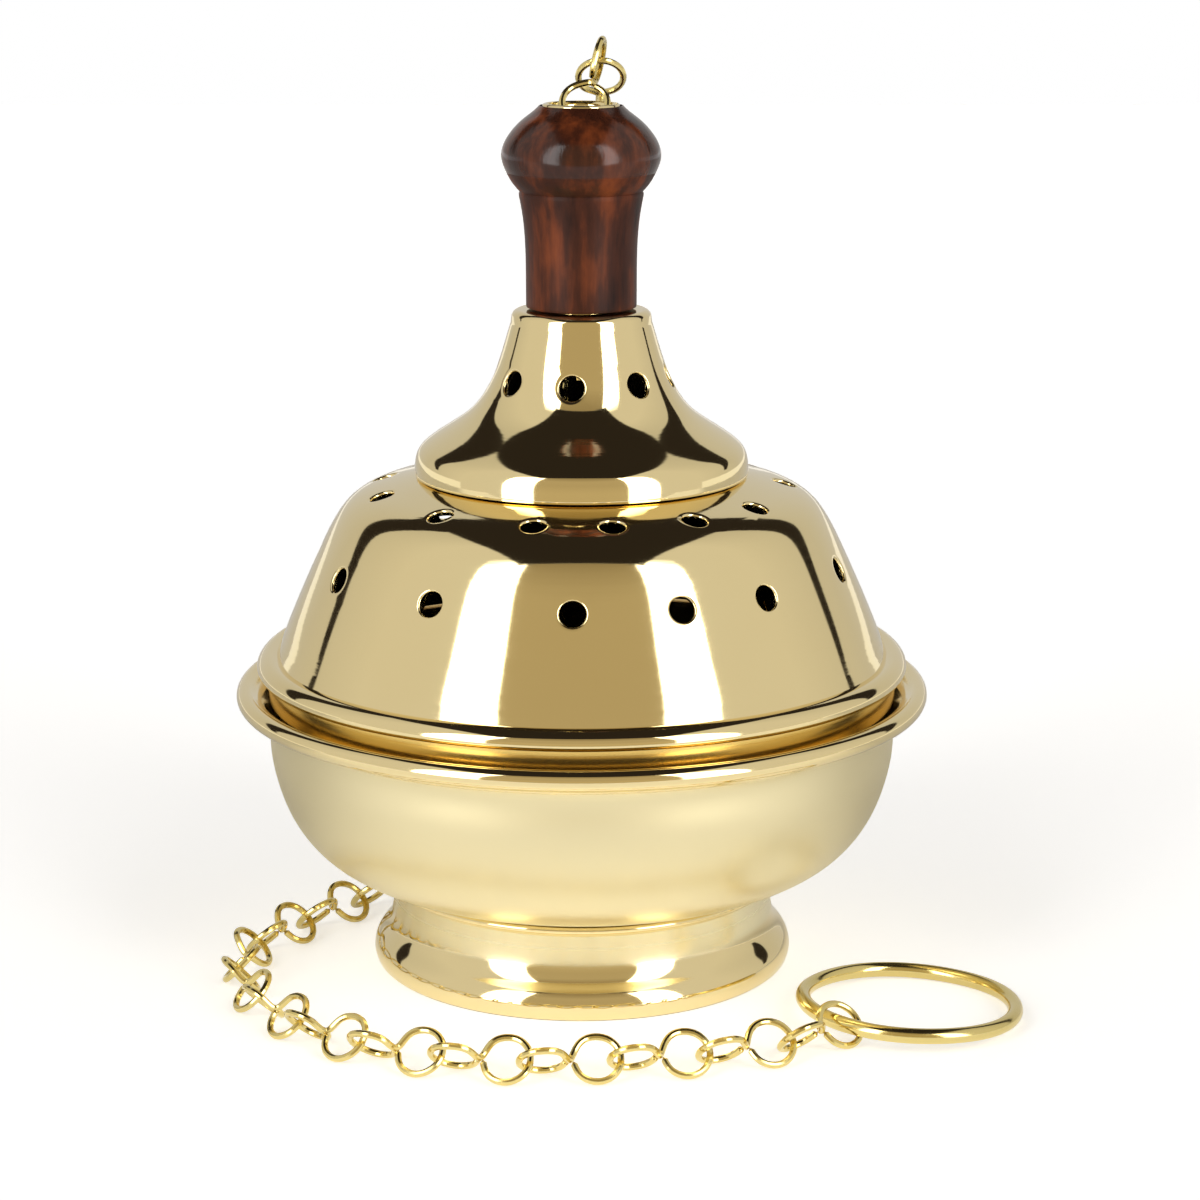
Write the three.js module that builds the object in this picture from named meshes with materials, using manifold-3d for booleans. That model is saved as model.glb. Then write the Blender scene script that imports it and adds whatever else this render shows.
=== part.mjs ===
// One-chain brass censer with a turned wooden handle, in millimetres, +Z up.
// The origin is the centre of the foot, on the surface that the censer stands on.
// The bowl carries a bow inside, the chain hooks on the bow and runs up through the lid's tube,
// and the lid slides on the chain.
import * as THREE from 'three';
import { mergeVertices } from 'three/addons/utils/BufferGeometryUtils.js';
import Module from 'manifold-3d';

const wasm = await Module();
wasm.setup();

// Driving dimensions
const SHEET = 1.2;              // spun brass of the bowl, the foot and the bell
const LID_SHEET = 1.1;
const GAP = 0.3;                // left between pieces that touch or are soldered

const FOOT_TOP = 15.65;
const BOWL_FLOOR = FOOT_TOP + GAP;
const BOWL_R = 54.5;            // widest part of the bowl, under the rim
const RIM = { r: 58.3, z: 49.3, roll: 1.7 };
const LID_BEAD = { r: 54.85, z: 54.1, roll: 1.66 };
const DOME_MOUTH_R = 20;        // opening in the top of the dome, under the bell
const BELL_TOP = 114.9;

const TUBE = { bore: 5.0, r: 5.7, bottom: 103.5, top: 149.6, cupR: 6.55 };
const HANDLE_BOTTOM = BELL_TOP + GAP;
const HANDLE_TOP = 149.2;

// Smoke holes, drilled by eye: degrees round from the front, and how many there are in all
const HOLE_R = 2.15;
const BELL_HOLES = { z: 103.6, count: 8, front: [-51, -6, 40] };
const DOME_HIGH_HOLES = { z: 84.4, count: 13, front: [-74, -41, -12.5, 8.5, 32, 55.5, 93] };
const DOME_LOW_HOLES = { z: 72.4, count: 13, front: [-62, -32, -1.5, 21, 41.5, 72.5] };

const WIRE = 1.3;               // chain wire
const LOOP_R = 3.85;            // centre line of a chain loop
const LOOP_SPAN = 8.6;          // between the centres of a link's two loops
const PITCH = 14.5;             // from one hooking point to the next
const TUBE_LINKS = 4;           // links between the bow and the tube's mouth
const MOUTH_JOINT_Z = 147.6;    // where the chain leaves the tube
const CHAIN_REST = 3.5;         // height of the chain's axis on the table

const BOW = { wire: 2.6, azimuth: 45, footZ: 36.5, top: MOUTH_JOINT_Z - TUBE_LINKS * PITCH + 1.4 };
const RING = { r: 17.9, wire: 2.6, x: 55.2, y: -33.4, hookX: 42.95, hookY: -46.45, hookZ: 3.5 };

// Facets round each kind of piece
const ROUND = { body: 32, handle: 24, tube: 16, hole: 8, wire: 5 };

const deg = Math.PI / 180;

// Materials
const brass = new THREE.MeshStandardMaterial({ color: 0xe2c27a, roughness: 0.16, metalness: 1 });
const chainBrass = new THREE.MeshStandardMaterial({ color: 0xd8ac4e, roughness: 0.24, metalness: 1 });
const wood = new THREE.MeshStandardMaterial({ color: 0x4f1a12, roughness: 0.3, metalness: 0 });
const steel = new THREE.MeshStandardMaterial({ color: 0x3a3836, roughness: 0.6, metalness: 1 });

const censer = new THREE.Group();

function add(name, geometry, material, parent = censer) {
  const mesh = new THREE.Mesh(geometry, material);
  mesh.name = name;
  parent.add(mesh);
  return mesh;
}

// Keeps only welded positions, with every face turned outwards.
function weld(geometry) {
  const bare = geometry.index ? geometry.toNonIndexed() : geometry.clone();
  bare.deleteAttribute('normal');
  bare.deleteAttribute('uv');
  const merged = mergeVertices(bare, 1e-4);
  const p = merged.getAttribute('position');
  const source = merged.getIndex().array;
  const kept = [];
  const corner = [new THREE.Vector3(), new THREE.Vector3(), new THREE.Vector3()];
  let volume = 0;
  for (let i = 0; i < source.length; i += 3) {
    const [a, b, c] = [source[i], source[i + 1], source[i + 2]];
    if (a === b || b === c || c === a) continue;
    kept.push(a, b, c);
    corner[0].fromBufferAttribute(p, a);
    corner[1].fromBufferAttribute(p, b);
    corner[2].fromBufferAttribute(p, c);
    volume += corner[0].dot(corner[1].cross(corner[2]));
  }
  if (volume < 0) {
    for (let i = 0; i < kept.length; i += 3) [kept[i + 1], kept[i + 2]] = [kept[i + 2], kept[i + 1]];
  }
  merged.setIndex(kept);
  return merged;
}

function toSolid(geometry) {
  const g = weld(geometry);
  return new wasm.Manifold(new wasm.Mesh({
    numProp: 3,
    vertProperties: new Float32Array(g.getAttribute('position').array),
    triVerts: new Uint32Array(g.getIndex().array),
  }));
}

function fromSolid(solid) {
  const mesh = solid.getMesh();
  const g = new THREE.BufferGeometry();
  g.setAttribute('position', new THREE.Float32BufferAttribute(mesh.vertProperties, 3));
  g.setIndex(Array.from(mesh.triVerts));
  return g;
}

// Points of a profile are [radius, height].
function smooth(points, pieces) {
  const curve = new THREE.SplineCurve(points.map(([r, z]) => new THREE.Vector2(r, z)));
  return curve.getPoints(pieces).map((p) => [p.x, p.y]);
}

function arc(r, z, radius, fromDeg, toDeg, pieces) {
  return Array.from({ length: pieces + 1 }, (_, i) => {
    const a = (fromDeg + (toDeg - fromDeg) * i / pieces) * deg;
    return [r + radius * Math.cos(a), z + radius * Math.sin(a)];
  });
}

// The same profile moved sideways by a wall's thickness, to the right of its direction.
function offset(points, distance) {
  return points.map(([r, z], i) => {
    const [r0, z0] = points[Math.max(i - 1, 0)];
    const [r1, z1] = points[Math.min(i + 1, points.length - 1)];
    const length = Math.hypot(r1 - r0, z1 - z0);
    return [r + distance * (z1 - z0) / length, z - distance * (r1 - r0) / length];
  });
}

// A closed profile that stays off the axis becomes a ring, one that starts and ends on it a full body.
function revolve(profile, segments) {
  const points = profile.map(([r, z]) => new THREE.Vector2(r, z));
  if (profile[0][0] > 0) points.push(points[0].clone());
  return weld(new THREE.LatheGeometry(points, segments).rotateX(Math.PI / 2));
}

// A round wire along an open curve, with flat ends.
function wireAlong(curve, diameter, sides, steps) {
  const section = new THREE.Shape(Array.from({ length: sides }, (_, i) => {
    const a = 2 * Math.PI * i / sides;
    return new THREE.Vector2(Math.cos(a), Math.sin(a)).multiplyScalar(diameter / 2);
  }));
  return weld(new THREE.ExtrudeGeometry(section, { steps, extrudePath: curve, bevelEnabled: false }));
}

function profileSlope(profile, z) {
  const i = profile.findIndex((p, k) => k > 0 && (p[1] - z) * (profile[k - 1][1] - z) <= 0);
  const [[r0, z0], [r1, z1]] = [profile[i - 1], profile[i]];
  const t = (z - z0) / (z1 - z0);
  return { r: r0 + t * (r1 - r0), tilt: Math.atan2(Math.abs(r1 - r0), Math.abs(z1 - z0)) };
}

// The holes round the back of a row are spaced evenly between the last and the first at the front.
function azimuths({ front, count }) {
  const last = front[front.length - 1];
  const step = (front[0] + 360 - last) / (count - front.length + 1);
  return Array.from({ length: count }, (_, k) => front[k] ?? last + step * (k - front.length + 1));
}

// A row of drilled holes, square to the sheet.
function drillRow(solid, profile, row) {
  const { r, tilt } = profileSlope(profile, row.z);
  return azimuths(row).reduce((drilled, azimuth) => {
    const drill = new THREE.CylinderGeometry(HOLE_R, HOLE_R, 8, ROUND.hole);
    drill.rotateZ(-Math.PI / 2).rotateY(-tilt).translate(r, 0, row.z).rotateZ((azimuth - 90) * deg);
    return drilled.subtract(toSolid(drill));
  }, solid);
}

// Foot: a spun ring with a concave neck and a rounded lip, closed on top where the bowl is soldered
function foot() {
  const outside = [
    [0, FOOT_TOP], [33.2, FOOT_TOP], [33.75, 15.15], [33.3, 14.5],
    ...smooth([[32.75, 13.6], [32.8, 11.6], [33.2, 9.2], [33.9, 7], [34.9, 5], [36.2, 3.1], [36.85, 1.9]], 5),
    [37, 1.1], [36.6, 0],
  ];
  const inside = [[34.9, 0], [33.6, 4], [32, 8], [31.4, FOOT_TOP - SHEET], [0, FOOT_TOP - SHEET]];
  return revolve([...outside, ...inside], ROUND.body);
}

// Bowl: spun in one sheet, flared at the top into a rolled rim
function bowlWall(pieces) {
  return smooth([
    [30, BOWL_FLOOR], [35, 16.55], [40, 18.1], [44.8, 20.2], [48.4, 23.4],
    [51.2, 27.8], [53.2, 33], [54.3, 38.5], [BOWL_R, 43],
  ], pieces);
}

function bowl() {
  const rim = [[54.7, 45], [55.6, 46.8], ...arc(RIM.r, RIM.z, RIM.roll, -75, 125, 4)];
  const seat = [[55.6, 49.4], [54.1, 47.8], [53.4, 46]];
  const inside = offset(bowlWall(5), -SHEET).reverse();
  return revolve([[0, BOWL_FLOOR], ...bowlWall(8), ...rim, ...seat, ...inside, [0, BOWL_FLOOR + SHEET]], ROUND.body);
}

// Charcoal pan: a plain dish with a turned-out edge that stands loose on the bowl's floor
function coalPan() {
  const floor = BOWL_FLOOR + SHEET + GAP;
  return revolve([
    [0, floor], [27, floor], [29.6, floor + 1.6], [33.4, floor + 11.4], [36, floor + 12.4],
    [36, floor + 13.4], [32.6, floor + 12.6], [28.8, floor + 2.4], [26.4, floor + 1], [0, floor + 1],
  ], ROUND.handle);
}

// Hanging bow: a bent rod soldered by its feet to the bowl's wall; the chain hooks on its top
function hangingBow() {
  const half = [[51.2, BOW.footZ], [49.7, 43], [47, 54], [41.6, 65], [31.6, 76], [18, 84.6], [7, BOW.top - 0.8]];
  const path = [...half.map(([x, z]) => new THREE.Vector3(-x, 0, z)), new THREE.Vector3(0, 0, BOW.top),
    ...half.map(([x, z]) => new THREE.Vector3(x, 0, z)).reverse()];
  const curve = new THREE.CatmullRomCurve3(path, false, 'centripetal');
  return wireAlong(curve, BOW.wire, 6, 20).rotateZ(BOW.azimuth * deg);
}

// Lid: a spun dome with a rolled bead, a seat ring below it and a bell on top
function domeWall(pieces) {
  return smooth([
    [DOME_MOUTH_R, 87.3], [25, 86.75], [29, 86.1], [33.3, 85.2], [37.4, 83.7], [40.4, 81.6],
    [42.6, 78.7], [44.9, 74.3], [47.2, 69.3], [49.4, 64.3], [51.2, 60], [52.7, 56.3],
  ], pieces);
}

function lidDome() {
  const wall = domeWall(9);
  const bead = arc(LID_BEAD.r, LID_BEAD.z, LID_BEAD.roll, 125, -100, 4);
  const inside = offset(domeWall(4), LID_SHEET).reverse();
  const shell = revolve([...wall, ...bead, [52.2, 53.6], ...inside], ROUND.body);
  const high = drillRow(toSolid(shell), wall, DOME_HIGH_HOLES);
  return fromSolid(drillRow(high, wall, DOME_LOW_HOLES));
}

function lidSeatRing() {
  return revolve([[54.5, 52.1], [54.5, 48.9], [52.8, 46.9], [52.8, 44.6], [51.8, 44.6], [51.8, 52.1]], ROUND.body);
}

function bellWall(pieces) {
  return smooth([
    [29, 87.1], [29.1, 88.2], [28.7, 90], [28.1, 91.5], [27, 93], [25, 94.3], [22.5, 95.8], [19.8, 97.8],
    [17.6, 100.3], [16, 103], [14.7, 106], [13.6, 109.4], [12.5, 112.8],
  ], pieces);
}

function lidBell() {
  const wall = bellWall(9);
  const top = [[11.9, 114.3], [10.9, BELL_TOP], [TUBE.r + GAP, BELL_TOP]];
  const under = [[TUBE.r + GAP, BELL_TOP - SHEET], [10.4, BELL_TOP - SHEET]];
  const inside = offset(bellWall(5), -SHEET).reverse();
  const shell = revolve([[28.6, 86.65], ...wall, ...top, ...under, ...inside, [27.7, 86.65]], ROUND.body);
  return fromSolid(drillRow(toSolid(shell), wall, BELL_HOLES));
}

// Handle: turned wood with a waist, a scored line and a round knob, bored for the tube
function handle() {
  const outside = [
    [9.3, HANDLE_BOTTOM],
    ...smooth([[9.5, 115.7], [9.43, 119], [9.47, 124], [9.75, 128.6], [10.25, 132.2], [10.8, 134.3]], 4),
    [10.65, 134.75],
    ...smooth([[11.2, 135.2], [12.4, 137.8], [13.3, 139.7], [13.47, 141], [13.2, 142.4], [12, 144.8], [10, 147.1], [7.9, 148.8]], 8),
    [7.1, HANDLE_TOP],
  ];
  const bore = [[6.95, HANDLE_TOP], [6.95, 148.2], [TUBE.r + GAP, 146.8], [TUBE.r + GAP, HANDLE_BOTTOM]];
  return revolve([...outside, ...bore], ROUND.handle);
}

// Tube: lines the handle and holds it to the bell, with a flared mouth for the chain
function chainTube() {
  return revolve([
    [TUBE.r, TUBE.bottom], [TUBE.r, 147.3], [6.3, 148.3], [TUBE.cupR, TUBE.top - 0.5], [6.2, TUBE.top],
    [5.6, TUBE.top - 0.2], [TUBE.bore, 148], [TUBE.bore, TUBE.bottom],
  ], ROUND.tube);
}

function tubeWasher() {
  const top = BELL_TOP - SHEET - GAP;
  return revolve([[TUBE.r + GAP, top], [TUBE.r + GAP, top - 1], [9.2, top - 1], [9.2, top]], ROUND.tube);
}

function tubeNut() {
  const top = BELL_TOP - SHEET - 2 * GAP - 1;
  const nut = toSolid(new THREE.CylinderGeometry(9, 9, 4, 6).rotateX(Math.PI / 2).translate(0, 0, top - 2));
  const bore = new THREE.CylinderGeometry(TUBE.r + GAP, TUBE.r + GAP, 6, ROUND.tube);
  return fromSolid(nut.subtract(toSolid(bore.rotateX(Math.PI / 2).translate(0, 0, top - 2))));
}

// Chain link: one wire bent to a figure of eight, its loops a quarter turn apart, with the
// wire's two ends closing on the waist. The link lies along X, the first loop in the XY plane.
function chainLink() {
  const points = [];
  const steps = 8;
  for (let i = 0; i <= steps; i += 1) {
    const a = (25 + 295 * i / steps) * deg;
    points.push(new THREE.Vector3(-LOOP_SPAN / 2 + LOOP_R * Math.cos(a), LOOP_R * Math.sin(a), 0));
  }
  points.push(new THREE.Vector3(0, 0, 0));
  for (let i = 0; i <= steps; i += 1) {
    const a = (140 - 295 * i / steps) * deg;
    points.push(new THREE.Vector3(LOOP_SPAN / 2 + LOOP_R * Math.cos(a), 0, LOOP_R * Math.sin(a)));
  }
  return wireAlong(new THREE.CatmullRomCurve3(points, false, 'centripetal'), WIRE, ROUND.wire, 13);
}

// Finger ring: a welded ring that lies almost flat, its near side held up by the last link
function fingerRing() {
  const ring = new THREE.TorusGeometry(RING.r, RING.wire / 2, 6, 26);
  const toHook = Math.atan2(RING.hookY - RING.y, RING.hookX - RING.x);
  const tilt = Math.asin((RING.hookZ - RING.wire / 2) / (2 * RING.r));
  ring.rotateY(-tilt).rotateZ(toHook);
  return weld(ring.translate(RING.x, RING.y, RING.hookZ - RING.r * Math.sin(tilt)));
}

// Where each link hooks on the next. The chain stands a little way out of the tube, drops over
// the knob, hangs straight down behind the lid ([y, z]) and lies round the foot to the front.
const STANDING = [8.4, 158.6];
const HANGING = [
  [9.8, 155.8], [18.4, 145.1], [21.8, 131.5], [20.4, 117.3], [23.5, 103.1], [33.6, 93.1],
  [44.4, 84], [51, 71.4], [58.2, 59.2], [65.8, 47.1], [67.8, 33], [67.2, 19.9],
];
const LYING = [
  [-4.6, 60.3, 8.3], [-11.9, 48.9], [-21.8, 38.6], [-31.8, 28.3], [-41.3, 17.5], [-50, 6.1],
  [-57.4, -6.2], [-59.2, -20.3], [-54.6, -33.6], [-46.8, -45.2], [-36.1, -54.4], [-23, -60.1],
  [-8.8, -62.9], [5.6, -61.8], [19.9, -59.1], [33.5, -54.1], [44.8, -45],
];

function chainStretches() {
  const inTube = Array.from({ length: TUBE_LINKS + 1 }, (_, k) => (
    new THREE.Vector3(0, 0, MOUTH_JOINT_Z - PITCH * (TUBE_LINKS - k))));
  const hanging = HANGING.map(([y, z]) => new THREE.Vector3(0, y, z));
  const lying = LYING.map(([x, y, z = CHAIN_REST]) => new THREE.Vector3(x, y, z));
  return [[...inTube, new THREE.Vector3(0, ...STANDING)], [...hanging, ...lying]];
}

// The first loop's direction across a link. In the tube the links turn from square to the bow
// to facing the front; further on each lies with its two loops leaning 45 degrees either way.
function acrossOf(k, along, middle, previous) {
  if (k <= TUBE_LINKS + 2) {
    const turn = (BOW.azimuth - 90) * deg * Math.max(TUBE_LINKS + 1 - k, 0) / TUBE_LINKS;
    return new THREE.Vector3(Math.cos(turn), Math.sin(turn), 0);
  }
  const up = middle.z < FOOT_TOP ? new THREE.Vector3(0, 0, 1) : new THREE.Vector3(middle.x, middle.y, 0);
  up.addScaledVector(along, -up.dot(along)).normalize();
  const sideways = new THREE.Vector3().crossVectors(along, up);
  const leaning = [up.clone().add(sideways), up.clone().sub(sideways)].map((v) => v.normalize());
  const nearest = leaning.reduce((a, b) => (Math.abs(a.dot(previous)) > Math.abs(b.dot(previous)) ? a : b));
  return nearest.dot(previous) < 0 ? nearest.negate() : nearest;
}

add('foot', foot(), brass);
add('bowl', bowl(), brass);
add('coal_pan', coalPan(), steel);
add('hanging_bow', hangingBow(), brass);
add('lid_dome', lidDome(), brass);
add('lid_seat_ring', lidSeatRing(), brass);
add('lid_bell', lidBell(), brass);
add('tube_washer', tubeWasher(), brass);
add('tube_nut', tubeNut(), brass);
add('chain_tube', chainTube(), brass);
add('handle', handle(), wood);

const link = chainLink();
let count = 0;
let across = new THREE.Vector3(1, 0, 0);
for (const joints of chainStretches()) {
  for (let j = 1; j < joints.length; j += 1) {
    count += 1;
    const along = joints[j].clone().sub(joints[j - 1]).normalize();
    const middle = joints[j].clone().add(joints[j - 1]).multiplyScalar(0.5);
    across = acrossOf(count, along, middle, across);
    across.addScaledVector(along, -across.dot(along)).normalize();
    const mesh = add(`chain_link_${String(count).padStart(2, '0')}`, link, chainBrass);
    const square = new THREE.Vector3().crossVectors(along, across);
    mesh.quaternion.setFromRotationMatrix(new THREE.Matrix4().makeBasis(along, across, square));
    mesh.position.copy(middle);
  }
}

add('finger_ring', fingerRing(), chainBrass);

export default censer;
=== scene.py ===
# %% [markdown]
# A hand censer of polished brass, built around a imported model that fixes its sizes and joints.
# Every length here is in millimetres until a mesh is made, because the real object is drawn in
# millimetres, and mm() turns it into Blender's metres.

import bmesh
import bpy
import numpy as np
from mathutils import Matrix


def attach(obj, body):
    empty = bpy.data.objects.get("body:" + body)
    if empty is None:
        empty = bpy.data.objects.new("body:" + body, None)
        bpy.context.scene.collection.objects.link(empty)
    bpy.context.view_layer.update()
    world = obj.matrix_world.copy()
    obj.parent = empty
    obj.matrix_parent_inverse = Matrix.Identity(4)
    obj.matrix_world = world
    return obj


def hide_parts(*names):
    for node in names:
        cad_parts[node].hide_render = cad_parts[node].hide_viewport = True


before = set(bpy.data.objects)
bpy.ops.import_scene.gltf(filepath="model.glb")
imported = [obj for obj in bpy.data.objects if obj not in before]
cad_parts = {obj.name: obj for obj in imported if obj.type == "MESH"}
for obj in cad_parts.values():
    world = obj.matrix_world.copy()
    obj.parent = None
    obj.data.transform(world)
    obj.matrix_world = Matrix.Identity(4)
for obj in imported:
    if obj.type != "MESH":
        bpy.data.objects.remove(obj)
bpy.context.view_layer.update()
MM = 0.001


def mm(values):
    """Millimetres to metres, for a number or an array."""
    return np.asarray(values, float) * MM


# %% [markdown]
# The camera comes first, because every later choice is judged in its picture. A censer on a
# table is photographed with a long lens from a little above: half a metre away, thirteen degrees
# down. A long lens keeps the rings of the lid almost parallel.

# %% Camera
CAMERA_AT = (3.168, -530.9, 189.04)
CAMERA_DOWN = 13.259
FOCAL_PIXELS = 3134.8
PHOTO_PIXELS = 1200
SENSOR = 36.0

camera_data = bpy.data.cameras.new("camera")
camera_data.sensor_width = SENSOR
camera_data.lens = FOCAL_PIXELS * SENSOR / PHOTO_PIXELS
camera = bpy.data.objects.new("camera", camera_data)
bpy.context.scene.collection.objects.link(camera)
camera.location = mm(CAMERA_AT)
camera.rotation_euler = (np.radians(90 - CAMERA_DOWN), 0, 0)
bpy.context.scene.camera = camera
print("lens", round(camera_data.lens, 2), "mm")


# %% [markdown]
# Nearly every piece of a spun and turned object is a profile carried round an axis. Few drawn
# points are enough when a natural cubic spline runs through them, because its curvature has no
# jumps. That matters on a mirror finish: a jump in curvature shows as a kink in the reflection.

# %% Curves
def spline(points, count):
    """Natural cubic spline through points, by chord length.

    The second derivatives m solve the tridiagonal system that makes slope and curvature
    continuous at each point; between points the curve is the usual cubic of values and m.
    """
    p = np.asarray(points, float)
    t = np.concatenate([[0], np.cumsum(np.linalg.norm(np.diff(p, axis=0), axis=1))])
    h = np.diff(t)
    system = np.eye(len(p))
    right = np.zeros_like(p)
    inner = np.arange(1, len(p) - 1)
    system[inner, inner - 1] = h[:-1]
    system[inner, inner] = 2 * (h[:-1] + h[1:])
    system[inner, inner + 1] = h[1:]
    slope = np.diff(p, axis=0) / h[:, None]
    right[1:-1] = 6 * (slope[1:] - slope[:-1])
    m = np.linalg.solve(system, right)
    u = np.linspace(0, t[-1], count)
    k = np.clip(np.searchsorted(t, u, side="right") - 1, 0, len(h) - 1)
    a, b, w = (t[k + 1] - u)[:, None], (u - t[k])[:, None], h[k][:, None]
    cubic = (m[k] * a**3 + m[k + 1] * b**3) / (6 * w)
    return cubic + (p[k] / w - m[k] * w / 6) * a + (p[k + 1] / w - m[k + 1] * w / 6) * b


def arc(edge, start, stop, count):
    """A rolled edge from start to stop degrees: at angle a it is (r + roll cos a, z + roll sin a)."""
    a = np.radians(np.linspace(start, stop, count))
    return np.stack([edge["r"] + edge["roll"] * np.cos(a), edge["z"] + edge["roll"] * np.sin(a)], 1)


def offset(profile, distance):
    """The profile moved square to itself, to the right of its direction."""
    d = np.gradient(np.asarray(profile, float), axis=0)
    d /= np.linalg.norm(d, axis=1)[:, None]
    return profile + distance * np.stack([d[:, 1], -d[:, 0]], 1)


half_circle = arc({"r": 0, "z": 0, "roll": 1}, 0, 180, 5)
print("a spline through five points of a half circle tops at", spline(half_circle, 3)[1].round(3))


# %% [markdown]
# A piece is made from an array of points and an array of faces that name them. It is shaded
# smooth, because polished metal shows no facets, and only the real corners are marked sharp.
# Points that coincide are merged, which closes seams and the poles on the axis.

# %% New pieces
CORNER = 35          # degrees between two faces from which their edge is shaded as a corner


def new_piece(name, points, faces, body):
    """A smooth-shaded mesh object at the origin, riding on a body."""
    mesh = bpy.data.meshes.new(name)
    mesh.from_pydata(mm(points).tolist(), [], faces.tolist())
    mesh.update()
    mesh.polygons.foreach_set("use_smooth", np.ones(len(mesh.polygons), bool))
    piece = bpy.data.objects.new(name, mesh)
    bpy.context.scene.collection.objects.link(piece)
    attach(piece, body)
    return piece


def welded(piece, distance=1e-6):
    """Merges points less than distance, in metres, apart, and marks the real corners."""
    bm = bmesh.new()
    bm.from_mesh(piece.data)
    bmesh.ops.remove_doubles(bm, verts=bm.verts, dist=distance)
    bm.to_mesh(piece.data)
    bm.free()
    piece.data.set_sharp_from_angle(angle=np.radians(CORNER))
    return piece


def measured(piece):
    """Prints a piece's width, depth and height: its points' highest less their lowest values."""
    points = np.empty(3 * len(piece.data.vertices))
    piece.data.vertices.foreach_get("co", points)
    size = np.ptp(points.reshape(-1, 3), axis=0) / MM
    print(piece.name, size.round(1).tolist(), "mm")


# %% [markdown]
# A lathe turns a profile round an axis, and so does this: the profile becomes a grid of points,
# one row per profile point and one column per step round the axis. Rows on the axis shrink to a
# single point, so that no pole is left open.

# %% Turning on the axis
COLUMNS = 256        # steps round the axis, enough for a smooth outline at the rim


def grid_faces(rows, columns, start=0):
    """Quads of a grid whose columns close round, one row after another."""
    r, c = np.meshgrid(np.arange(rows - 1), np.arange(columns), indexing="ij")
    n = (c + 1) % columns
    low, high = r * columns, (r + 1) * columns
    return np.stack([low + c, low + n, high + n, high + c], -1).reshape(-1, 4) + start


def turned(profile, columns):
    """Points of a body of revolution: (r, z) of the profile at angle a is (r cos a, r sin a, z)."""
    profile = np.asarray(profile, float)
    r, z = profile[:, :1], profile[:, 1:]
    a = np.linspace(0, 2 * np.pi, columns, endpoint=False)
    return np.stack([r * np.cos(a), r * np.sin(a), z + 0 * a], -1).reshape(-1, 3)


def spun(name, profile, body, columns=COLUMNS):
    """A piece turned from a profile that runs up its outer side, so that its faces look outwards."""
    faces = grid_faces(len(profile), columns)
    return welded(new_piece(name, turned(profile, columns), faces, body))


print("a profile of 100 points gives", len(grid_faces(100, COLUMNS)), "quads")


# %% [markdown]
# The chain is a jack chain: each link is one piece of wire bent to two loops, the second loop a
# quarter turn from the first, with both ends closing on the waist. It runs from the bow inside
# the bowl up through the handle's tube, falls behind the lid, and lies round the foot to the
# finger ring. The places where one link hooks on the next are listed along that way.

# %% Chain route
PITCH = 14.5               # from one hooking place to the next, in the tube
TUBE_LINKS = 4
MOUTH_JOINT_Z = 147.6
CHAIN_REST = 3.5           # height of a hooking place on the table

STANDING = [3.4, 7.8, 157.9]
HANGING = [[3.4, 9.2, 155.1], [2.9, 18.2, 144.9], [2.2, 21.8, 131.5], [1.4, 20.4, 117.3],
           [0.7, 23.5, 103.1], [0, 33.6, 93.1], [0, 44.4, 84], [0, 51, 71.4],
           [0, 58.2, 59.2], [0, 65.8, 47.1], [0, 67.8, 33], [0, 68.1, 19.9]]
LIFTING = [-4.5, 63.6, 7.5]
LYING = [(-11.4, 51.1), (-21.4, 40.2), (-31.5, 29.4), (-41.1, 18.2), (-50, 6.4), (-57.4, -6.2),
         (-59.2, -20.3), (-54.6, -33.6), (-46.8, -45.2), (-36.1, -54.4), (-23, -60.1),
         (-8.8, -62.9), (5.6, -61.8), (19.9, -59.1), (33.5, -54.1), (44.8, -45)]

tube_joints = [[0, 0, MOUTH_JOINT_Z - PITCH * (TUBE_LINKS - k)] for k in range(TUBE_LINKS + 1)]
standing = np.array([*tube_joints, STANDING], float)
free = np.array([*HANGING, LIFTING, *([x, y, CHAIN_REST] for x, y in LYING)], float)
print("the free chain is", round(float(np.linalg.norm(np.diff(free, axis=0), axis=1).sum())), "mm long")


# %% [markdown]
# A wire is a circle carried along a path. If each circle were turned on its own, the surface
# could twist, so its first direction is handed on from ring to ring and only straightened.

# %% Wire
def unit(v):
    """Each vector divided by its own length."""
    return v / np.linalg.norm(v, axis=-1, keepdims=True)


def wire_along(path, radius, sides, closed=False):
    """Rings of points round a path, radius wide; the frame turns with the path and never twists.

    Each ring is radius (cos a · n + sin a · b). n starts square to the path and is carried
    along by taking away what leans into the path's direction.
    """
    path = np.asarray(path, float)
    ahead = np.roll(path, -1, 0) - np.roll(path, 1, 0) if closed else np.gradient(path, axis=0)
    t = unit(ahead)
    n = np.zeros_like(t)
    slanting = [0.31, 0.42, 0.85]        # a direction that no path here starts in
    n[0] = unit(np.cross(t[0], slanting))
    for k in range(1, len(t)):
        n[k] = n[k - 1] - t[k] * (n[k - 1] @ t[k])
        n[k] /= np.linalg.norm(n[k])
    b = np.cross(t, n)
    a = np.linspace(0, 2 * np.pi, sides, endpoint=False)
    cosine, sine = np.cos(a)[None, :, None], np.sin(a)[None, :, None]
    wide = np.broadcast_to(radius, len(path))[:, None, None]
    rings = path[:, None] + wide * (cosine * n[:, None] + sine * b[:, None])
    faces = grid_faces(len(path), sides)
    if closed:
        last, first = (len(path) - 1) * sides + np.arange(sides), np.arange(sides)
        seam = np.stack([last, np.roll(last, -1), np.roll(first, -1), first], -1)
        faces = np.concatenate([faces, seam])
    return rings.reshape(-1, 3), faces


def rounded_ends(count, radius, over):
    """Radius of each ring of a cut wire: over the first and last rings it grows as a quarter circle."""
    ring = np.arange(count)
    from_end = np.minimum(ring, ring[::-1])
    return radius * np.sqrt(1 - np.clip(1 - from_end / over, 0, 1) ** 2)


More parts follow.
